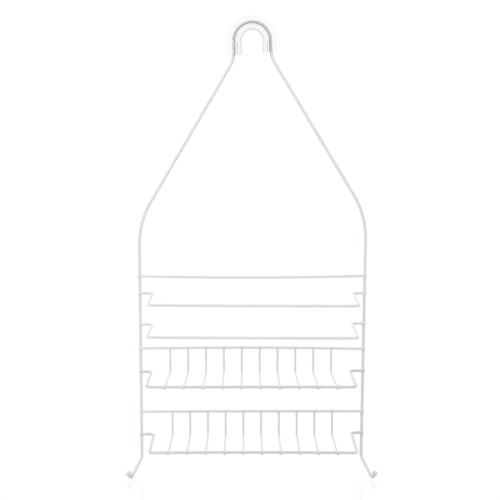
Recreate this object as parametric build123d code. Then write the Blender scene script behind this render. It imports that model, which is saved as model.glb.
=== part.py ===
from build123d import *
import os
from math import atan2, cos, pi, sin, tan

# A hanging shower caddy of white-coated steel wire. It hangs by a small arch over the shower arm.
# All sizes are in millimetres. The origin is the centre of the arch, where the shower arm's axis
# runs along Y. X goes across the caddy, +Z is up, and the shelves stand out towards -Y, so the
# back of the frame, on the +Y side, lies flat against the wall.

# Wire diameters, measured over the coating.
frame_wire = 3.5
rail_wire = 3.0
rib_wire = 2.2

# Resistance welds press crossing wires into each other by this much.
rail_set_down = 0.5
rib_set_down = 0.5
rim_set_down = 0.7

# A wire's path stops short of its real end by this share of its diameter, and a rounded stub
# closes it, as the coating does. The stub's edge is rounded over nearly its whole height.
end_rounding = 0.3
stub_rounding = 0.98

# Shower arm and the clear saddle that sits on it.
shower_arm = 21.3
arm_clearance = 0.43
collar_wall = 5.0
collar_length = 14.0
saddle_web = 2.12
saddle_leg = 14.0
flange_thickness = 1.6
flange_proud = 4.65
wire_clearance = 0.05
flange_rounding = 0.6
snap_lip = 0.25
lip_width = 0.8
lip_leg = 5.0
tooth_pitch = 3.9
tooth_groove = 1.3

# Frame: one wire from hook to hook.
frame_width = 250.0
neck_drop = 18.7
neck_radius = 34.0
shoulder_drop = 193.6
shoulder_radius = 95.0
upright_tail = 28.7

# Hooks: each leg runs out, forward and down from the foot of its upright, then turns up.
hook_out = 9.6
hook_forward = 31.2
hook_fall = 14.7
hook_top_radius = 5.0
tip_out = 2.4
tip_forward = 4.1
tip_rise = 6.4
tip_radius = 3.4
tip_ball = 6.4
tip_neck_length = 1.0
tip_neck_wall = 0.7

# Cross wires: each gap is measured down from the one before, the first from where the shoulders
# end. A basket's wall is the height of its rear rail over its rim.
top_bar_gap = 39.0
upper_accessory_gap = 19.3
lower_accessory_gap = 34.7
upper_basket_gap = 53.5
lower_basket_gap = 71.8
basket_wall = 25.0
shelf_depth = 76.0
arm_inset = 13.4
rail_bend = 5.0
foot_overhang = 0.4

# Ribs of the baskets.
rib_pitch = 20.0
rib_side_gap = 21.6
rib_bend = 3.0
rib_top_proud = 0.3
rib_front_proud = 1.0

# As welded, the ribs of each basket sit slightly to one side, and fan out towards the front.
upper_rib_shift = -1.5
lower_rib_shift = 0.3
upper_rib_fan = 1.026
lower_rib_fan = 1.01

# Places that follow from the sizes above.
land_radius = shower_arm / 2 + arm_clearance
collar_radius = land_radius + collar_wall
seat_radius = collar_radius + saddle_web
arch_radius = seat_radius + wire_clearance + frame_wire / 2
flange_radius = arch_radius + frame_wire / 2 + flange_proud
channel_width = frame_wire + 2 * wire_clearance
half_width = frame_width / 2
diagonal_lean = atan2(half_width - arch_radius, shoulder_drop - neck_drop)
shoulder_end = shoulder_drop + shoulder_radius * tan(diagonal_lean / 2)
top_bar_drop = shoulder_end + top_bar_gap
upper_accessory_drop = top_bar_drop + upper_accessory_gap
lower_accessory_drop = upper_accessory_drop + lower_accessory_gap
upper_basket_drop = lower_accessory_drop + upper_basket_gap
lower_basket_drop = upper_basket_drop + lower_basket_gap
frame_drop = lower_basket_drop + upright_tail
rail_y = rail_set_down - (frame_wire + rail_wire) / 2
front_y = rail_y - shelf_depth
arm_x = half_width - arm_inset
foot_x = half_width + frame_wire / 2 + foot_overhang - end_rounding * rail_wire
rib_back_y = rail_y + rib_set_down - (rail_wire + rib_wire) / 2
rib_front_y = front_y - rail_wire / 2 - rib_front_proud + end_rounding * rib_wire
rib_rise = rail_wire / 2 + rib_top_proud - end_rounding * rib_wire
rib_sink = (rail_wire + rib_wire) / 2 - rim_set_down

os.makedirs("parts", exist_ok=True)


def rounded_end(origin, outward, diameter):
    """The rounded stub that closes one end of a wire, standing out from the given point."""
    height = end_rounding * diameter
    stub = Pos(0, 0, height / 2) * Cylinder(diameter / 2, height)
    stub = fillet(stub.edges().sort_by(Axis.Z)[-1], stub_rounding * height)
    return Plane(origin=origin, z_dir=outward) * stub


def bent_wire(path, diameter):
    """A round wire along a path, with both ends rounded over."""
    section = Plane(origin=path @ 0, z_dir=path % 0) * Circle(diameter / 2)
    body = sweep(section, path=path)
    first = rounded_end(path @ 0, -(path % 0), diameter)
    last = rounded_end(path @ 1, path % 1, diameter)
    return body + first + last


def save(shape, name):
    """Writes one piece, with its name as the file's name."""
    export_step(shape, f"parts/{name}.step")


def hook_points(side):
    """The corners of the frame wire on one side, from the hook's tip up to the arch."""
    foot = (side * half_width, 0, -frame_drop)
    bend = (foot[0] + side * hook_out, -hook_forward, foot[2] - hook_fall)
    tip = (bend[0] + side * tip_out, bend[1] - tip_forward, bend[2] + tip_rise)
    shoulder = (side * half_width, 0, -shoulder_drop)
    neck = (side * arch_radius, 0, -neck_drop)
    arch = (side * arch_radius, 0, 0)
    return [tip, bend, foot, shoulder, neck, arch]


def frame_path():
    """Hook, upright, shoulder, diagonal and neck on each side, joined by the arch."""
    bends = [tip_radius, hook_top_radius, shoulder_radius, neck_radius]
    right = FilletPolyline(*hook_points(1), radius=bends)
    left = FilletPolyline(*reversed(hook_points(-1)), radius=bends[::-1])
    arch = ThreePointArc((arch_radius, 0, 0), (0, 0, arch_radius), (-arch_radius, 0, 0))
    return Wire(right.edges() + arch.edges() + left.edges())


def upright_notches(drop):
    """The stretches of the two uprights that a cross wire at this drop is pressed against."""
    upright = Cylinder(frame_wire / 2, 3 * rail_wire)
    return [Pos(side * half_width, 0, -drop) * upright for side in (-1, 1)]


def cross_bar(drop):
    """A straight wire welded across the front of both uprights."""
    path = Line((-foot_x, rail_y, -drop), (foot_x, rail_y, -drop))
    return bent_wire(path, rail_wire) - upright_notches(drop)


def shelf_rail(drop):
    """A U of wire: a foot on each upright, two arms forward and the front bar."""
    corners = [
        (-foot_x, rail_y, -drop),
        (-arm_x, rail_y, -drop),
        (-arm_x, front_y, -drop),
        (arm_x, front_y, -drop),
        (arm_x, rail_y, -drop),
        (foot_x, rail_y, -drop),
    ]
    wire = bent_wire(FilletPolyline(*corners, radius=rail_bend), rail_wire)
    return wire - upright_notches(drop)


def rib(x, front_x, drop):
    """An L of thin wire: down from the rear rail, then forward under the rim's front bar."""
    rear_z = basket_wall - drop
    floor_z = -drop - rib_sink
    corners = [
        (x, rib_back_y, rear_z + rib_rise),
        (x, rib_back_y, floor_z),
        (front_x, rib_front_y, floor_z),
    ]
    wire = bent_wire(FilletPolyline(*corners, radius=rib_bend), rib_wire)
    rail = Rot(0, 90, 0) * Cylinder(rail_wire / 2, 3 * rib_wire)
    return wire - [Pos(x, rail_y, rear_z) * rail, Pos(front_x, front_y, -drop) * rail]


def arch_band(inner, outer, leg, width):
    """An upside-down U: half a ring of the two radii on two straight legs, centred on Y."""
    whole = Circle(outer) + Pos(0, -leg / 2) * Rectangle(2 * outer, leg)
    opening = Circle(inner) + Pos(0, -leg / 2) * Rectangle(2 * inner, leg)
    below = Pos(0, -leg - outer) * Rectangle(4 * outer, 2 * outer)
    return extrude(Plane.XZ * (whole - opening - below), width / 2, both=True)


def saddle_body():
    """The clear channel that snaps over the arch wire, with its toothed collar."""
    flange_width = channel_width + 2 * flange_thickness
    body = arch_band(land_radius, collar_radius, saddle_leg, collar_length)
    body += arch_band(collar_radius, flange_radius, saddle_leg, flange_width)
    body -= arch_band(seat_radius, 2 * flange_radius, 2 * saddle_leg, channel_width)
    body = fillet(rim_edges(body, flange_radius, flange_width), flange_rounding)
    body = fillet(rim_edges(body, collar_radius, collar_length), flange_rounding)

    # A lip on each flange, just outside the wire, keeps the wire in the channel.
    lip_radius = arch_radius + frame_wire / 2 + wire_clearance
    lip = arch_band(lip_radius, lip_radius + lip_width, lip_leg, channel_width)
    lip -= arch_band(arch_radius, flange_radius, saddle_leg, channel_width - 2 * snap_lip)
    body += lip

    # Grooves between the teeth: round the arch, and down the inside of both legs.
    arch_teeth = round(pi * land_radius / tooth_pitch)
    groove = Rot(90, 0, 0) * Cylinder(tooth_groove / 2, 2 * collar_length)
    for tooth in range(arch_teeth):
        turn = pi * (tooth + 0.5) / arch_teeth
        body -= Pos(land_radius * cos(turn), 0, land_radius * sin(turn)) * groove
    for tooth in range(int(saddle_leg / tooth_pitch)):
        for side in (-1, 1):
            body -= Pos(side * land_radius, 0, -(tooth + 0.5) * tooth_pitch) * groove
    return body


def rim_edges(body, radius, width):
    """The outer edges of an arch band: its two arcs of this radius at this width."""
    edges = body.edges().filter_by(GeomType.CIRCLE)
    return edges.filter_by(lambda e: abs(e.radius - radius) < 0.01
                           and abs(abs(e.center().Y) - width / 2) < 0.01)


def hook_tip(side):
    """A ball cap, with a short neck, pushed over the rounded end of the hook."""
    tip, bend = (Vector(*point) for point in hook_points(side)[:2])
    neck_height = tip_ball / 2 + tip_neck_length
    neck = Pos(0, 0, -neck_height / 2) * Cylinder(frame_wire / 2 + tip_neck_wall, neck_height)
    bore_depth = neck_height + end_rounding * frame_wire + wire_clearance
    bore = Cylinder(frame_wire / 2 + wire_clearance, bore_depth)
    ball = Sphere(tip_ball / 2) + neck - Pos(0, 0, bore_depth / 2 - neck_height) * bore
    return Plane(origin=tip, z_dir=tip - bend) * ball


save(bent_wire(frame_path(), frame_wire), "frame_wire")
save(cross_bar(top_bar_drop), "top_cross_bar")
save(shelf_rail(upper_accessory_drop), "upper_accessory_rail")
save(shelf_rail(lower_accessory_drop), "lower_accessory_rail")
save(saddle_body(), "shower_arm_saddle")
save(hook_tip(-1), "left_hook_tip")
save(hook_tip(1), "right_hook_tip")

rib_span = 2 * (arm_x - rib_side_gap)
rib_gaps = round(rib_span / rib_pitch)
baskets = [
    ("upper_basket", upper_basket_drop, upper_rib_shift, upper_rib_fan),
    ("lower_basket", lower_basket_drop, lower_rib_shift, lower_rib_fan),
]
for basket, drop, shift, fan in baskets:
    save(cross_bar(drop - basket_wall), f"{basket}_rear_rail")
    save(shelf_rail(drop), f"{basket}_rim")
    for number in range(rib_gaps + 1):
        x = number * rib_span / rib_gaps - rib_span / 2
        save(rib(shift + x, shift + fan * x, drop), f"{basket}_rib_{number + 1:02d}")
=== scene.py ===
import math

import bpy
import numpy as np
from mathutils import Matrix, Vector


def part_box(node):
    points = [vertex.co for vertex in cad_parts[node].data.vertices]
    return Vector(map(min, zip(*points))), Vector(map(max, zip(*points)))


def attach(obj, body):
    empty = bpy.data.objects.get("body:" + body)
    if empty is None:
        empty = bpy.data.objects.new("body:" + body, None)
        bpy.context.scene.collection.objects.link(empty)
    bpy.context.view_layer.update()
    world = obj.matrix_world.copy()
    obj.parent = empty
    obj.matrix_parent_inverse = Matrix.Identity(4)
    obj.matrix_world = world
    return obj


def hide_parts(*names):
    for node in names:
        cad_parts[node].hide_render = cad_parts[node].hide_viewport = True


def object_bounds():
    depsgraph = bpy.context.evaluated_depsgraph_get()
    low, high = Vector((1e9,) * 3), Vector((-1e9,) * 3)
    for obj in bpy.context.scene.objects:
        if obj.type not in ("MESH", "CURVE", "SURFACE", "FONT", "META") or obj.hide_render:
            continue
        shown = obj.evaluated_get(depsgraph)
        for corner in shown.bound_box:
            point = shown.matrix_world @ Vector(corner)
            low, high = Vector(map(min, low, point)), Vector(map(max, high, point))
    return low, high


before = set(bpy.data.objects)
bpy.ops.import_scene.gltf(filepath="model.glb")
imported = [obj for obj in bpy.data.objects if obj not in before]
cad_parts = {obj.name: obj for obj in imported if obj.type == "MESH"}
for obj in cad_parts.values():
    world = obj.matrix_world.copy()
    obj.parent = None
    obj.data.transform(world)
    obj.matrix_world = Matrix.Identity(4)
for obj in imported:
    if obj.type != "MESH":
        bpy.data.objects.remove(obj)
cad_box = [list(corner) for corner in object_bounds()]

# ---------------------------------------------------------------------------------------------
# Camera. A long lens a little below the height of the arch, square to the wall and tipped
# down, so that both basket floors show through their front bars.
# ---------------------------------------------------------------------------------------------
camera_data = bpy.data.cameras.new("camera")
camera_data.sensor_width = 36.0
camera_data.lens = 87.16
camera = bpy.data.objects.new("camera", camera_data)
camera.location = (-0.0085, -1.3334, -0.0508)
camera.rotation_euler = (math.radians(90 - 7.646), 0, math.radians(-0.269))
bpy.context.scene.collection.objects.link(camera)
bpy.context.scene.camera = camera

# ---------------------------------------------------------------------------------------------
# Studio. A white room lit almost evenly, a little brighter above and to the left. Behind the
# object it is pure white. Glossy surfaces see it bright behind and dimmer on the camera's side,
# and only rays through clear plastic see it darker away from the line of view, which draws
# the plastic's edges.
# ---------------------------------------------------------------------------------------------
bpy.context.scene.view_settings.view_transform = "Standard"
world = bpy.data.worlds.new("studio")
bpy.context.scene.world = world
world.use_nodes = True
sky = world.node_tree
sky.nodes.clear()
direction = sky.nodes.new("ShaderNodeTexCoord")
light_path = sky.nodes.new("ShaderNodeLightPath")


def brightness_over(base, slope):
    """Brightness that changes evenly with direction: base plus direction times slope."""
    dot = sky.nodes.new("ShaderNodeVectorMath")
    dot.operation = "DOT_PRODUCT"
    dot.inputs[1].default_value = slope
    sky.links.new(direction.outputs["Generated"], dot.inputs[0])
    total = sky.nodes.new("ShaderNodeMath")
    total.inputs[1].default_value = base
    sky.links.new(dot.outputs["Value"], total.inputs[0])
    return total.outputs[0]


def chosen(share, first, second):
    """The first value, or the second where share is one."""
    mix = sky.nodes.new("ShaderNodeMix")
    sky.links.new(share, mix.inputs["Factor"])
    for socket, value in ((mix.inputs["A"], first), (mix.inputs["B"], second)):
        sky.links.new(value, socket)
    return mix.outputs["Result"]


backdrop = brightness_over(1.02, (0, 0, 0))
reflected = brightness_over(0.84, (-0.05, 0.18, 0.04))
scattered = brightness_over(0.79, (-0.05, 0.05, 0.05))
side_view = sky.nodes.new("ShaderNodeMath")
side_view.operation = "ABSOLUTE"
sky.links.new(brightness_over(0, (0, 1, 0)), side_view.inputs[0])
refracted = sky.nodes.new("ShaderNodeMapRange")
refracted.interpolation_type = "SMOOTHSTEP"
for socket, value in (("From Max", 0.85), ("To Min", 0.30), ("To Max", 1.02)):
    refracted.inputs[socket].default_value = value
sky.links.new(side_view.outputs[0], refracted.inputs["Value"])
surroundings = chosen(light_path.outputs["Is Transmission Ray"], backdrop, refracted.outputs[0])
surroundings = chosen(light_path.outputs["Is Glossy Ray"], surroundings, reflected)
scattered_once = sky.nodes.new("ShaderNodeMath")
scattered_once.operation = "GREATER_THAN"
scattered_once.inputs[1].default_value = 0.5
sky.links.new(light_path.outputs["Diffuse Depth"], scattered_once.inputs[0])
surroundings = chosen(scattered_once.outputs[0], surroundings, scattered)
background = sky.nodes.new("ShaderNodeBackground")
background.inputs["Color"].default_value = (1, 1, 1, 1)
sky.links.new(surroundings, background.inputs["Strength"])
world_output = sky.nodes.new("ShaderNodeOutputWorld")
sky.links.new(background.outputs[0], world_output.inputs["Surface"])

# Each soft box: its name, place, size and power. All face the middle of the caddy.
caddy_middle = np.array([0.0, 0.0, -0.24])
soft_boxes = [
    ("key_box", (-0.6, -0.75, 0.6), 0.9, 3.4),
    ("glint_box", (-0.5, -1.2, 0.9), 0.25, 0.3),
]
for name, place, size, power in soft_boxes:
    light = bpy.data.lights.new(name, "AREA")
    light.size = size
    light.energy = power
    lamp = bpy.data.objects.new(name, light)
    lamp.location = place
    aim = Vector(caddy_middle - np.array(place))
    lamp.rotation_euler = aim.to_track_quat("-Z", "Y").to_euler()
    bpy.context.scene.collection.objects.link(lamp)


class Signal:
    """What one node gives. Arithmetic on it adds Math nodes to the same finish."""

    def __init__(self, finish, socket):
        self.finish = finish
        self.socket = socket

    def math(self, operation, *terms):
        return self.finish.node("ShaderNodeMath", {"operation": operation}, terms)

    def __add__(self, other):
        return self.math("ADD", self, other)

    def __sub__(self, other):
        return self.math("SUBTRACT", self, other)

    def __rsub__(self, other):
        return self.math("SUBTRACT", other, self)

    def __mul__(self, other):
        return self.math("MULTIPLY", self, other)

    def __gt__(self, other):
        return self.math("GREATER_THAN", self, other)

    __radd__ = __add__
    __rmul__ = __mul__


class Finish:
    """One material: a Principled shader with constants, and the nodes that vary its inputs."""

    def __init__(self, name, **constants):
        self.material = bpy.data.materials.new(name)
        self.material.use_nodes = True
        self.tree = self.material.node_tree
        self.shader = self.tree.nodes["Principled BSDF"]
        for socket, value in constants.items():
            self.shader.inputs[socket.replace("_", " ")].default_value = value

    def node(self, kind, settings=None, inputs=(), output=0):
        """Adds a node: its settings first, then a value or a signal for each input."""
        made = self.tree.nodes.new(kind)
        for setting, value in (settings or {}).items():
            setattr(made, setting, value)
        named = inputs.items() if isinstance(inputs, dict) else enumerate(inputs)
        for key, value in named:
            self.feed(made.inputs[key], value)
        return Signal(self, made.outputs[output])

    def feed(self, socket, value):
        """Gives a socket a signal or a plain value."""
        if isinstance(value, Signal):
            self.tree.links.new(value.socket, socket)
        else:
            socket.default_value = value

    def noise(self, scale, detail=2.0, roughness=0.5):
        """Noise from 0 to 1 over the object's own coordinates, scale in cycles a metre."""
        place = self.node("ShaderNodeTexCoord", output=3)
        sizes = {"Vector": place, "Scale": scale, "Detail": detail, "Roughness": roughness}
        return self.node("ShaderNodeTexNoise", inputs=sizes)

    def attribute(self, name):
        """A number that the mesh keeps at each of its points."""
        return self.node("ShaderNodeAttribute", {"attribute_name": name}, output=2)

    def blend(self, share, first, second):
        """A colour between two others."""
        return self.node("ShaderNodeMix", {"data_type": "RGBA"}, {0: share, 6: first, 7: second}, 2)

    def bump(self, height, strength, distance):
        """A bump of that height signal, distance in metres."""
        sizes = {"Height": height, "Strength": strength, "Distance": distance}
        self.feed(self.shader.inputs["Normal"], self.node("ShaderNodeBump", inputs=sizes))


# ---------------------------------------------------------------------------------------------
# Floor. A sheet of glossy white acrylic just under the hooks, bright enough to melt into the
# surroundings, with only a faint soft reflection in it.
# ---------------------------------------------------------------------------------------------
floor_gap = 0.0006
floor_half = 12.0
floor_z = cad_box[0][2] - floor_gap
floor_mesh = bpy.data.meshes.new("floor")
quarters = ((-1, -1), (1, -1), (1, 1), (-1, 1))
floor_corners = [(x * floor_half, y * floor_half, floor_z) for x, y in quarters]
floor_mesh.from_pydata(floor_corners, [], [(0, 1, 2, 3)])
floor = bpy.data.objects.new("floor", floor_mesh)
bpy.context.scene.collection.objects.link(floor)
acrylic = Finish("white_acrylic_sheet")
glow = acrylic.node("ShaderNodeEmission", inputs={"Color": (1, 1, 1, 1), "Strength": 1.01})
mirror = acrylic.node("ShaderNodeBsdfGlossy", inputs={"Color": (1, 1, 1, 1), "Roughness": 0.1})
looks = acrylic.node("ShaderNodeMixShader", inputs={0: 0.14, 1: glow, 2: mirror})
chalk = acrylic.node("ShaderNodeBsdfDiffuse", inputs={"Color": (0.6, 0.6, 0.6, 1)})
lighting = acrylic.node("ShaderNodeLightPath", output="Diffuse Depth") > 0.5
sheet = acrylic.node("ShaderNodeMixShader", inputs={0: lighting, 1: looks, 2: chalk})
acrylic.feed(acrylic.tree.nodes["Material Output"].inputs["Surface"], sheet)
floor_mesh.materials.append(acrylic.material)

# ---------------------------------------------------------------------------------------------
# Frame wire. One steel rod bent from hook to hook: hook, upright, shoulder, diagonal, neck and
# the arch over the shower arm. It is coated with everything else after the welding.
# ---------------------------------------------------------------------------------------------
frame_radius = 0.00175
rail_radius = 0.0015
rib_radius = 0.0011
foot_overhang = 0.0004
arch_radius = 0.02
neck_drop = 0.0187
neck_bend = 0.034
shoulder_drop = 0.1936
shoulder_bend = 0.095
hook_leg = np.array([0.0096, -0.0312, -0.0147])
hook_tip = np.array([0.0024, -0.0041, 0.0064])
hook_bends = [0.0034, 0.005]

half_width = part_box("top_cross_bar")[1][0] - foot_overhang - frame_radius
lower_rim_z = (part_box("lower_basket_rim")[0][2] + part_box("lower_basket_rim")[1][2]) / 2
upright_tail = 0.0287


def unit(vectors):
    """Vectors scaled to length one along their last axis."""
    return vectors / np.linalg.norm(vectors, axis=-1, keepdims=True)


def bent_route(corners, bends, step=0.0004):
    """Straight runs joined by tangent arcs. Each arc turns evenly from its first to its last
    spoke, and its centre lies on the line that halves the corner."""
    corners = np.array(corners, float)
    points = [corners[:1]]
    for before, corner, after, bend in zip(corners, corners[1:], corners[2:], bends):
        back, ahead = unit(before - corner), unit(after - corner)
        turn = math.pi - math.acos(np.clip(back @ ahead, -1, 1))
        reach = bend * math.tan(turn / 2)
        centre = corner + unit(back + ahead) * bend / math.cos(turn / 2)
        first, last = corner + back * reach - centre, corner + ahead * reach - centre
        share = np.linspace(0, 1, max(4, int(bend * turn / step)))[:, None]
        arc = (np.sin((1 - share) * turn) * first + np.sin(share * turn) * last) / math.sin(turn)
        points.append(centre + arc)
    points.append(corners[-1:])
    return np.vstack(points)


# The rack is bent by hand, so it isn't quite even: the arch is turned a little, the left
# shoulder is lower than the right, and the right upright leans in towards its foot.
arch_turn = math.radians(2.4)
shoulder_lift = {-1: -0.0046, 1: 0.0022}
shoulder_out = {-1: 0.0, 1: 0.0013}
foot_out = {-1: 0.0, 1: -0.0010}


def turned_arch(points):
    """Points turned with the arch, about the shower arm."""
    x, y, z = np.moveaxis(np.asarray(points, float), -1, 0)
    cosine, sine = math.cos(arch_turn), math.sin(arch_turn)
    return np.stack([x * cosine - z * sine, y, x * sine + z * cosine], -1)


def frame_side(side):
    """The corners of one side, from the hook's tip up to the arch."""
    foot = np.array([half_width + foot_out[side], 0, lower_rim_z - upright_tail])
    shoulder = [half_width + shoulder_out[side], 0, shoulder_lift[side] - shoulder_drop]
    lower = [corner * (side, 1, 1) for corner in (foot + hook_leg + hook_tip, foot + hook_leg, foot,
                                                  np.array(shoulder))]
    arch = [turned_arch((side * arch_radius, 0, z)) for z in (-neck_drop, arch_radius)]
    return lower + arch


def upright_x(side, z):
    """Where the middle of an upright is at a height."""
    foot, shoulder = frame_side(side)[2:4]
    return np.interp(z, [foot[2], shoulder[2]], [foot[0], shoulder[0]])


side_bends = hook_bends + [shoulder_bend, neck_bend, arch_radius - 0.00001]
frame_route = bent_route(frame_side(-1) + frame_side(1)[::-1], side_bends + side_bends[::-1])

# ---------------------------------------------------------------------------------------------
# White coat. After welding, the whole rack is dipped in white vinyl. The coat is a little
# uneven, rounds off every cut end, and pools in the corners where wires cross.
# ---------------------------------------------------------------------------------------------
pool_reach = 0.0019
end_share = 0.8
coarse_step = 0.0016
fine_step = 0.00035
fine_span = 0.004


def distance_to_rod(points, rod):
    """How far points are from the surface of a rod, given as both ends and its radius."""
    start, end, radius = rod
    along = end - start
    share = np.clip((points - start) @ along / (along @ along), 0, 1)
    nearest = start + share[..., None] * along
    return np.linalg.norm(points - nearest, axis=-1) - radius


def pooled(points, outward, rod, rounds=6):
    """How far the coat rises off a wire beside a crossing rod. The surface sought is the
    smooth union of the two: where both distances are alike it stands out by a quarter of
    the reach, and it dies away as they differ."""
    rise = np.zeros(points.shape[:-1])
    for _ in range(rounds):
        other = distance_to_rod(points + outward * rise[..., None], rod)
        overlap = np.maximum(pool_reach - np.abs(rise - other), 0)
        union = np.minimum(rise, other) - overlap**2 / (4 * pool_reach)
        rise = np.clip(rise - union, 0, pool_reach / 4)
    return rise


def uneven(along, around, seed):
    """The slow swell of a dipped coat: three crossed waves with phases from a seed."""
    phases = np.random.default_rng(seed).uniform(0, 2 * math.pi, 6)
    swell = np.zeros((len(along), len(around)))
    for wave, (length, laps) in enumerate(((0.031, 1), (0.013, 2), (0.0057, 1))):
        run = np.sin(2 * math.pi * along / length + phases[2 * wave])[:, None]
        swell += run * np.cos(laps * around + phases[2 * wave + 1])[None, :] / (wave + 1)
    return swell


def add_piece(name, points, faces, finish, pool=None):
    """A smooth mesh piece from arrays of points and faces."""
    mesh = bpy.data.meshes.new(name)
    mesh.from_pydata(points.tolist(), [], faces)
    mesh.polygons.foreach_set("use_smooth", np.ones(len(mesh.polygons), bool))
    if pool is not None:
        mesh.attributes.new("pool", "FLOAT", "POINT").data.foreach_set("value", pool)
    mesh.materials.append(finish.material)
    piece = bpy.data.objects.new(name, mesh)
    bpy.context.scene.collection.objects.link(piece)
    return piece


def grid_faces(rings, sides):
    """Quads between closed rings of points, and a fan of triangles to a pole at each end. The
    poles are the two points after the rings."""
    ring, side = np.meshgrid(np.arange(rings - 1), np.arange(sides), indexing="ij")
    ahead = (side + 1) % sides
    quads = np.stack([ring * sides + side, ring * sides + ahead,
                      (ring + 1) * sides + ahead, (ring + 1) * sides + side], -1)
    edge = np.arange(sides)
    after = (edge + 1) % sides
    last = (rings - 1) * sides
    first_fan = np.stack([np.full(sides, rings * sides), after, edge], -1)
    last_fan = np.stack([np.full(sides, rings * sides + 1), last + edge, last + after], -1)
    return quads.reshape(-1, 4).tolist() + first_fan.tolist() + last_fan.tolist()


def coated_wire(name, route, radius, upright, rods, finish, sides=24, seed=0):
    """A wire in its coat: a circle carried along the route. Its radius closes to nothing over
    each rounded end, swells slowly along the coat, and rises where the coat pools."""
    gaps = np.linalg.norm(np.diff(route, axis=0), axis=1)
    reached = np.concatenate([[0], np.cumsum(gaps)])
    length = reached[-1]

    # Stations along the wire: closer together at both ends and beside each crossing.
    def at(distance):
        return np.stack([np.interp(distance, reached, route[:, axis]) for axis in range(3)], -1)

    sampled = np.linspace(0, length, 6000)
    tight = [0.0, length]
    for rod in rods:
        clear = distance_to_rod(at(sampled), rod) - radius
        assert clear.min() < pool_reach, (name, "is clear of a rod that should cross it", clear.min())
        tight.append(sampled[np.argmin(clear)])
    closeness = np.abs(sampled[:, None] - np.array(tight)).min(1)
    pace = np.where(closeness < fine_span, fine_step, coarse_step)
    count = np.concatenate([[0], np.cumsum(np.diff(sampled) / pace[1:])])
    along = np.interp(np.linspace(0, count[-1], int(count[-1]) + 2), count, sampled)

    # Both ends get cosine-spaced stations, so that the rounding is smooth up to the pole.
    cap = end_share * radius
    inner = along[(along > 1.3 * cap) & (along < length - 1.3 * cap)]
    ease = 1.3 * cap * (1 - np.cos(np.linspace(0.12, 1, 12) * math.pi / 2))
    along = np.concatenate([ease, inner, length - ease[::-1]])
    centre = at(along)
    ahead = unit(at(np.minimum(along + fine_step, length)) - at(np.maximum(along - fine_step, 0)))
    across = unit(upright - (ahead @ upright)[:, None] * ahead)
    third = np.cross(ahead, across)
    around = np.linspace(0, 2 * math.pi, sides, endpoint=False)
    outward = (np.cos(around)[None, :, None] * across[:, None]
               + np.sin(around)[None, :, None] * third[:, None])

    from_end = np.minimum(along, length - along)
    closing = np.sqrt(1 - (1 - np.clip(from_end / cap, 0, 1)) ** 2)
    thick = radius * (1 + 0.008 * uneven(along, around, seed)) * closing[:, None]
    points = centre[:, None] + outward * thick[..., None]
    rise = np.zeros(thick.shape)
    for rod in rods:
        rise = np.maximum(rise, pooled(points, outward, rod))
    points += outward * (rise * closing[:, None])[..., None]
    points = np.vstack([points.reshape(-1, 3), route[:1], route[-1:]])
    # The height of the pool at each point, kept for the painted shade in the corners at crossings.
    pool = np.concatenate([rise.ravel() / pool_reach * 4, [0, 0]])
    faces = grid_faces(len(along), sides)
    return add_piece(name, points, faces, finish, pool)


def white_vinyl(name, tint):
    """Dipped vinyl: nearly even white, with painted shade where the coat pools at crossings, a
    fine orange peel, slow dips, and a soft gloss that dulls in patches."""
    finish = Finish(name, Roughness=0.3, Coat_Weight=0.35, Coat_Roughness=0.12,
                    Subsurface_Weight=0.12, Subsurface_Scale=0.001)
    finish.shader.inputs["Subsurface Radius"].default_value = (1.0, 0.95, 0.9)
    cloud = finish.noise(70.0, 3.0)
    pool = finish.attribute("pool")
    shade = tuple(0.955 * part for part in tint) + (1,)
    # Painted shade: the coat is drawn darker where it pools in the corners between crossing wires.
    pool_painted_shade = tuple(0.93 * part for part in tint) + (1,)
    plain = finish.blend(cloud, shade, tint + (1,))
    colour = finish.blend(pool * 0.5, plain, pool_painted_shade)
    specks = finish.noise(2600.0, 1.0) > 0.79
    finish.feed(finish.shader.inputs["Base Color"],
                finish.blend(specks * 0.12, colour, (0.45, 0.45, 0.44, 1)))
    finish.feed(finish.shader.inputs["Roughness"], 0.24 + finish.noise(160.0) * 0.14)
    finish.bump(finish.noise(1500.0) * 0.3 + finish.noise(240.0), 0.35, 0.00012)
    return finish


wire_vinyl = white_vinyl("white_vinyl_coat", (0.815, 0.845, 0.87))


# How each cross wire has come out of its bending and welding, in millimetres above the drawn
# line: its bar's left end, middle and right end, then its feet. Last, its arms' shift sideways.
made_shape = {
    "top_cross_bar": ((0.3, -1.2, 0.5), (0.3, 0.5), 0),
    "upper_accessory_rail": ((0.6, -0.2, -0.6), (0.3, 0.1), 1.0),
    "lower_accessory_rail": ((0.9, 0.0, -0.5), (-0.4, 0.7), 0.1),
    "upper_basket_rear_rail": ((0.8, 1.7, 0.1), (0.8, 0.1), 0),
    "upper_basket_rim": ((0.2, 0.5, 0.1), (-0.9, 0.0), -1.3),
    "lower_basket_rear_rail": ((-0.2, 0.15, 0.0), (-0.2, 0.0), 0),
    "lower_basket_rim": ((0.0, 0.65, -0.35), (-1.3, 0.2), 0.6),
}


def wire_middle(node):
    """A cross wire's box, shrunk to its middle line, with its ends where the uprights are."""
    low, high = (np.array(corner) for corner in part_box(node))
    low += rail_radius * np.array([0, 1, 1])
    high -= rail_radius * np.array([0, 1, 1])
    low[0] += upright_x(-1, low[2]) + half_width
    high[0] += upright_x(1, low[2]) - half_width
    return low, high


def made_height(node, points):
    """How far above its drawn line a cross wire is: a parabola through the three heights along
    its bar, which fades to the height of the nearer foot towards the back."""
    low, high = wire_middle(node)
    bar, feet, _ = made_shape[node]
    share = points[..., 0] / half_width
    along_bar = bar[1] + (bar[2] - bar[0]) / 2 * share + ((bar[0] + bar[2]) / 2 - bar[1]) * share**2
    foot = np.where(share < 0, *feet)
    back = (points[..., 1] - low[1]) / max(high[1] - low[1], 1e-6) * (high[1] - low[1] > 0.01)
    return (along_bar + (foot - along_bar) * back) / 1000


def finish_piece(piece, node):
    """Hangs a piece on the one rigid body, in place of its node."""
    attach(piece, "root")
    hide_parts(node)


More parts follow.
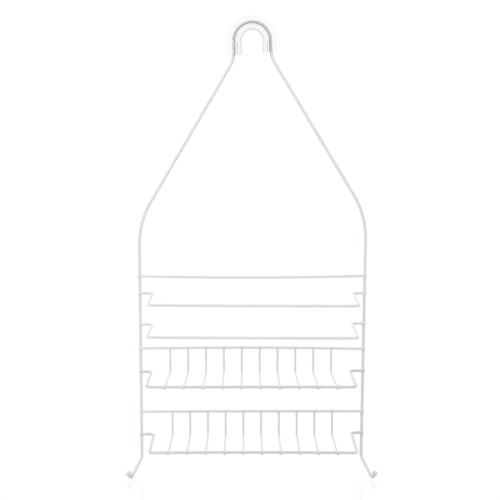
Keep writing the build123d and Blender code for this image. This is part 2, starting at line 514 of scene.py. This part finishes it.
def feet_rods(nodes):
    """For each node, two short rods where its wire lies across the left and right upright."""
    rods = []
    for node in nodes:
        low, high = wire_middle(node)
        for x, inward in ((low[0], 0.0118), (high[0], -0.0118)):
            ends = np.array([[x, high[1], low[2]], [x + inward, high[1], low[2]]])
            ends[:, 2] += made_height(node, ends[:1])
            rods.append((ends[0], ends[1], rail_radius))
    return rods


cross_nodes = ["top_cross_bar", "upper_basket_rear_rail", "lower_basket_rear_rail"]
shelf_nodes = ["upper_accessory_rail", "lower_accessory_rail", "upper_basket_rim", "lower_basket_rim"]
frame_piece = coated_wire("frame_wire_coat", frame_route, frame_radius, np.array([0.0, 1, 0]),
                          feet_rods(cross_nodes + shelf_nodes), wire_vinyl, 28, seed=1)
finish_piece(frame_piece, "frame_wire")

# ---------------------------------------------------------------------------------------------
# Cross wires. Three straight rods lie across the front of the uprights: the top bar and the
# rear rail of each basket. Welding has left each with a slight bow.
# ---------------------------------------------------------------------------------------------


def upright_rods(node):
    """The stretches of both uprights beside a cross wire."""
    z = wire_middle(node)[0][2]
    ends = [[np.array([upright_x(side, z + step), 0, z + step]) for step in (-0.02, 0.02)]
            for side in (-1, 1)]
    return [(below, above, frame_radius) for below, above in ends]


def rib_nodes(basket):
    """The names of a basket's ribs."""
    return sorted(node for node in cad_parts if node.startswith(f"{basket}_rib_"))


def rib_ends(node):
    """A rib's places from its own mesh: x at the back, x at the front, and its box."""
    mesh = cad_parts[node].data
    flat = np.empty(3 * len(mesh.vertices))
    mesh.vertices.foreach_get("co", flat)
    points = flat.reshape(-1, 3)
    low, high = points.min(0), points.max(0)
    back = points[points[:, 1] > high[1] - 0.004]
    front = points[points[:, 1] < low[1] + 0.003]
    back_x = (back[:, 0].min() + back[:, 0].max()) / 2
    front_x = (front[:, 0].min() + front[:, 0].max()) / 2
    return back_x, front_x, low, high


def rib_leg_rods(basket):
    """The upright legs of a basket's ribs, as rods."""
    rods = []
    for node in rib_nodes(basket):
        back_x, _, low, high = rib_ends(node)
        y = high[1] - rib_radius
        ends = [np.array([back_x, y, z]) for z in (low[2] + 0.01, high[2] - rib_radius)]
        rods.append((ends[0], ends[1], rib_radius))
    return rods


for number, node in enumerate(cross_nodes):
    low, high = wire_middle(node)
    route = np.linspace(low * (1, 0, 1) + high * (0, 1, 0), high, 400)
    route[:, 2] += made_height(node, route)
    rods = upright_rods(node)
    if node != "top_cross_bar":
        rods += rib_leg_rods(node.replace("_rear_rail", ""))
    piece = coated_wire(f"{node}_coat", route, rail_radius, np.array([0.0, 0, 1]), rods,
                        wire_vinyl, 24, seed=10 + number)
    finish_piece(piece, node)

# ---------------------------------------------------------------------------------------------
# Shelf rails. Each accessory rail and each basket rim is one rod bent into a U: two feet on
# the uprights, two arms forward and the front bar. The rims' coat is drawn greyer, as painted
# shade, and the lower rim's left arm is a little straighter than the rest.
# ---------------------------------------------------------------------------------------------
arm_inset = 0.0134
rail_bend = 0.005
left_arm_straighter = 0.0008
# The rims' darker grey is painted shade; they are dipped in the same vinyl as the other rails.
painted_shade_rim_vinyl = white_vinyl("white_vinyl_rim_coat", (0.72, 0.745, 0.765))


def rib_floor_rods(basket):
    """The floor runs of a basket's ribs near the front bar, as rods."""
    rods = []
    for node in rib_nodes(basket):
        back_x, front_x, low, high = rib_ends(node)
        z = low[2] + rib_radius
        start = np.array([back_x + (front_x - back_x) * 0.7, low[1] + 0.02, z])
        rods.append((start, np.array([front_x, low[1] + rib_radius, z]), rib_radius))
    return rods


for number, node in enumerate(shelf_nodes):
    low, high = wire_middle(node)
    left, right = (made_shape[node][2] / 1000 + side * (half_width - arm_inset) for side in (-1, 1))
    left_front = left + (left_arm_straighter if node == "lower_basket_rim" else 0.0)
    corners = [(low[0], high[1], low[2]), (left, high[1], low[2]), (left_front, low[1], low[2]),
               (right, low[1], low[2]), (right, high[1], low[2]), (high[0], high[1], low[2])]
    route = bent_route(corners, [rail_bend] * 4)
    middle = np.argmax(np.linalg.norm(np.diff(route, axis=0), axis=1))
    front_bar = np.linspace(route[middle], route[middle + 1], 200)
    route = np.vstack([route[:middle], front_bar, route[middle + 2:]])
    route[:, 2] += made_height(node, route)
    rods = upright_rods(node)
    if node.endswith("_rim"):
        rods += rib_floor_rods(node.replace("_rim", ""))
    vinyl = painted_shade_rim_vinyl if node.endswith("_rim") else wire_vinyl
    piece = coated_wire(f"{node}_coat", route, rail_radius, np.array([0.0, 0, 1]), rods,
                        vinyl, 24, seed=20 + number)
    finish_piece(piece, node)

# ---------------------------------------------------------------------------------------------
# Ribs. Ten thinner rods make each basket's back and floor. Each hangs from the rear rail, bends
# forward, and ends just past the front bar, which lies across it. Welding has sunk its end a
# little into that bar. The ribs' coat is drawn slightly greyer than the rails', as painted shade.
# ---------------------------------------------------------------------------------------------
rib_bend = 0.003
weld_back = 0.0005
weld_sink = 0.0003
# The ribs' greyer tint is painted shade inside the baskets; they are dipped in the same vinyl.
painted_shade_rib_vinyl = white_vinyl("white_vinyl_rib_coat", (0.785, 0.81, 0.85))
for basket, first_seed in (("upper_basket", 52), ("lower_basket", 62)):
    rear, rim = f"{basket}_rear_rail", f"{basket}_rim"
    rear_z, rear_y = wire_middle(rear)[0][2], wire_middle(rear)[1][1]
    rim_y, rim_z = wire_middle(rim)[0][1:]
    for number, node in enumerate(rib_nodes(basket)):
        back_x, front_x, low, high = rib_ends(node)
        back_y, floor_level = high[1] - rib_radius, low[2] + rib_radius
        rear_lift = made_height(rear, np.array([back_x, rear_y, rear_z]))
        rim_lift = made_height(rim, np.array([front_x, rim_y, rim_z]))
        corners = [(back_x, back_y, high[2] + rear_lift),
                   (back_x, back_y, floor_level + rear_lift / 2),
                   (front_x, low[1] + weld_back, floor_level + rim_lift + weld_sink)]
        route = bent_route(corners, [rib_bend], step=0.0002)
        reach = np.array([0.006, 0, 0])
        crossed = [np.array([back_x, rear_y, rear_z + rear_lift]),
                   np.array([front_x, rim_y, rim_z + rim_lift])]
        rods = [(spot - reach, spot + reach, rail_radius) for spot in crossed]
        piece = coated_wire(f"{node}_coat", route, rib_radius, np.array([1.0, 0, 0]), rods,
                            painted_shade_rib_vinyl, 18, seed=first_seed + number)
        finish_piece(piece, node)

# ---------------------------------------------------------------------------------------------
# Hook tips. A moulded ball of soft white plastic is pushed over the end of each hook, so that
# it doesn't scratch the wall or a hand.
# ---------------------------------------------------------------------------------------------
ball_radius = 0.0032
tip_neck_radius = 0.00245
tip_neck_end = 0.0042
tip_plastic = white_vinyl("tip_plastic", (0.82, 0.83, 0.83))
tip_plastic.shader.inputs["Coat Weight"].default_value = 0.6


def turned(name, origin, axis, heights, radii, finish, sides=48):
    """A profile turned about an axis: each ring has its height along the axis and its radius.
    The first and last heights are the poles."""
    axis = unit(axis)
    across = unit(np.cross(axis, np.array([0.0, 0, 1])))
    third = np.cross(axis, across)
    around = np.linspace(0, 2 * math.pi, sides, endpoint=False)
    spokes = np.cos(around)[:, None] * across + np.sin(around)[:, None] * third
    rings = origin + heights[1:-1, None, None] * axis + radii[1:-1, None, None] * spokes
    poles = origin + heights[[0, -1], None] * axis
    points = np.vstack([rings.reshape(-1, 3), poles])
    faces = grid_faces(len(heights) - 2, sides)
    return add_piece(name, points, faces, finish)


# The profile runs from inside the neck's rim, round the rim, up the neck, and over the ball.
# A fine moulding line stands proud round the ball's widest part, and its nose has a gate mark.
lean = math.asin(tip_neck_radius / ball_radius)
ball_turn = np.linspace(math.pi - lean, 0, 60)
line = 0.00006 * np.exp(-((ball_turn - math.pi / 2) / 0.05) ** 2)
gate = -0.00012 * np.exp(-(ball_turn / 0.16) ** 2)
ball_heights = (ball_radius + line + gate) * np.cos(ball_turn)
ball_radii = (ball_radius + line + gate) * np.sin(ball_turn)
rim_turn = np.linspace(-math.pi / 2, math.pi / 2, 10)
rim_half = 0.0003
rim_heights = -tip_neck_end + rim_half - rim_half * np.cos(rim_turn)
rim_radii = tip_neck_radius - rim_half + rim_half * np.sin(rim_turn)
tip_heights = np.concatenate([[-tip_neck_end + rim_half], rim_heights, ball_heights])
tip_radii = np.concatenate([[0], rim_radii, ball_radii])
for side, node in ((-1, "left_hook_tip"), (1, "right_hook_tip")):
    tip, bend = frame_side(side)[:2]
    piece = turned(f"{node}_cap", tip, tip - bend, tip_heights, tip_radii, tip_plastic)
    finish_piece(piece, node)

# ---------------------------------------------------------------------------------------------
# Saddle. A clear moulded channel snaps over the arch, and its toothed collar grips the shower
# arm. It is one section carried up one leg, round the arch and down the other, and it has slid
# a little to the left on the wire.
# ---------------------------------------------------------------------------------------------
land_radius = 0.01108
collar_radius = 0.01608
seat_radius = 0.0182
flange_radius = 0.0264
collar_half = 0.007
channel_half = 0.0018
flange_half = 0.0034
right_leg = 0.0132
left_leg = 0.0151
leg_stations = 50
arc_stations = 300
tooth_pitch = math.pi * land_radius / 9
tooth_depth = 0.0009
corner_round = 0.00035
tooth_round = 0.0007
line_round = 0.00005

# The section, as (distance from the arm's axis, place along it), going round once. The points
# inside the straight lines are there for the painted shade.
collar_rings = [(ring, collar_half) for ring in (0.0125, 0.0128, 0.0148, 0.0153)]
web_rings = [(ring, flange_half) for ring in (0.0165, 0.0170, 0.0184, 0.0188, 0.0255)]
half_section = [
    (land_radius, 0.0), (land_radius, collar_half), *collar_rings, (collar_radius, collar_half),
    (collar_radius, flange_half), *web_rings, (flange_radius, flange_half),
    (flange_radius, channel_half), (seat_radius, channel_half), (seat_radius, 0.0),
]


def softened(outline, sizes, steps=5):
    """A closed outline with each corner cut by a small arc-like curve of its size. A point
    just before and after each curve keeps the flat faces flat."""
    outline = np.array(outline)
    size = np.array(sizes)[:, None]
    before, after = np.roll(outline, 1, 0), np.roll(outline, -1, 0)
    back, ahead = unit(before - outline), unit(after - outline)
    share = np.linspace(0, 1, steps)[None, :, None]
    curve = ((1 - share) ** 2 * (outline + back * size)[:, None]
             + 2 * share * (1 - share) * outline[:, None]
             + share**2 * (outline + ahead * size)[:, None])
    guards = [(outline + way * 1.6 * size)[:, None] for way in (back, ahead)]
    return np.concatenate([guards[0], curve, guards[1]], 1).reshape(-1, 2)


mirrored = [(far, -place) for far, place in half_section[1:-1][::-1]]
corners = half_section[1:-1] + mirrored
inside_line = collar_rings + web_rings
rounding = [tooth_round if far == land_radius
            else line_round if (far, abs(place)) in inside_line else corner_round
            for far, place in corners]
section = softened(corners, rounding)
arc_length = math.pi * land_radius
run = np.concatenate([
    np.linspace(-right_leg, 0, leg_stations)[:-1],
    np.linspace(0, arc_length, arc_stations),
    np.linspace(arc_length, arc_length + left_leg, leg_stations)[1:],
])
turn = np.clip(run / land_radius, 0, math.pi)
drop = np.minimum(run, 0) + np.minimum(arc_length - run, 0)

# Rounded teeth with sharp valleys between them, cut only into the collar's inner face.
beat = (run / tooth_pitch) % 1
valley = tooth_depth * (1 - np.sqrt(np.clip(1 - (2 * beat - 1) ** 2, 0, 1)))
inner = np.clip(1 - (section[:, 0] - land_radius) / 0.0004, 0, 1)
far = section[None, :, 0] + inner[None, :] * valley[:, None]
saddle_points = turned_arch(np.stack([
    far * np.cos(turn)[:, None],
    np.broadcast_to(section[None, :, 1], far.shape),
    far * np.sin(turn)[:, None] + drop[:, None],
], -1))
rings, sides = far.shape
ring, side = np.meshgrid(np.arange(rings - 1), np.arange(sides), indexing="ij")
ahead = (side + 1) % sides
quads = np.stack([ring * sides + side, (ring + 1) * sides + side,
                  (ring + 1) * sides + ahead, ring * sides + ahead], -1)
end_faces = [list(range(sides)), list(range((rings - 1) * sides, rings * sides))[::-1]]
clear_plastic = Finish("clear_moulded_plastic", IOR=1.49, Transmission_Weight=1.0)
milky = clear_plastic.noise(90.0, 2.0)
body = clear_plastic.attribute("body")
flange_tint = clear_plastic.blend(milky, (0.88, 0.92, 0.955, 1), (0.91, 0.94, 0.965, 1))
collar_tint = clear_plastic.blend(milky, (0.96, 0.96, 0.98, 1), (0.99, 0.985, 0.99, 1))
clear_tint = clear_plastic.blend(body, flange_tint, collar_tint)
# Painted shade: a dark grey that stands for shade and dark refraction seen in the plastic.
painted_shade_tint = clear_plastic.blend(milky, (0.27, 0.28, 0.33, 1), (0.36, 0.32, 0.36, 1))
depth = clear_plastic.attribute("depth")
clear_plastic.feed(clear_plastic.shader.inputs["Base Color"],
                   clear_plastic.blend(depth, clear_tint, painted_shade_tint))
clear_plastic.feed(clear_plastic.shader.inputs["Alpha"], body)
clear_plastic.feed(clear_plastic.shader.inputs["Roughness"],
                   0.03 + clear_plastic.noise(220.0) * 0.04)
clear_plastic.bump(clear_plastic.noise(300.0), 0.15, 0.0001)
saddle = add_piece("shower_arm_saddle_moulding", saddle_points.reshape(-1, 3),
                   quads.reshape(-1, 4).tolist() + end_faces, clear_plastic)

# Painted shade and painted dark refraction in the clear plastic: greyest at the teeth, over the
# channel's floor, and along the legs at the collar's outer edge. The thin flanges are the clearest.
# Each pair is a distance from the arm's axis and the share of the painted shade tint there.
painted_shade_steps = [
    (0.0118, 0.4), (0.0124, 0.3), (0.0128, 0.12), (0.0148, 0.07), (0.0153, 0.0), (0.0165, 0.10),
    (0.0170, 0.26), (0.0184, 0.26), (0.0188, 0.0), (0.0255, 0.0), (flange_radius, 0.3),
]
painted_shade_radii, painted_shade_levels = zip(*painted_shade_steps)
leg_fade = 0.004
leg_edge_painted_shade = 0.8
leg_tooth_painted_shade = 0.35
painted_shade_values = np.broadcast_to(np.interp(section[None, :, 0], painted_shade_radii, painted_shade_levels), far.shape).copy()
collar_edge = abs(section[:, 0] - collar_radius) < 1.1 * corner_round
# Painted shade along the legs at the collar's outer edge, where it faces sideways.
painted_shade_values[:, collar_edge] = leg_edge_painted_shade * np.clip(-drop / leg_fade, 0, 1)[:, None]
# Painted shade on each tooth, strongest at its middle and weaker on the legs.
tooth_middle = np.sin(math.pi * beat) ** 2 * np.where(drop < -0.001, leg_tooth_painted_shade, 1.0)
teeth = section[:, 0] < land_radius + 1.1 * tooth_round
painted_shade_values = np.maximum(painted_shade_values, teeth * (0.1 + 0.9 * tooth_middle[:, None]))
thick = np.where(section[:, 0] < collar_radius + corner_round, 1.0, 0.3)
for name, values in (("depth", painted_shade_values), ("body", np.broadcast_to(thick, far.shape))):
    kept = saddle.data.attributes.new(name, "FLOAT", "POINT")
    kept.data.foreach_set("value", values.astype(np.float32).ravel())
finish_piece(saddle, "shower_arm_saddle")
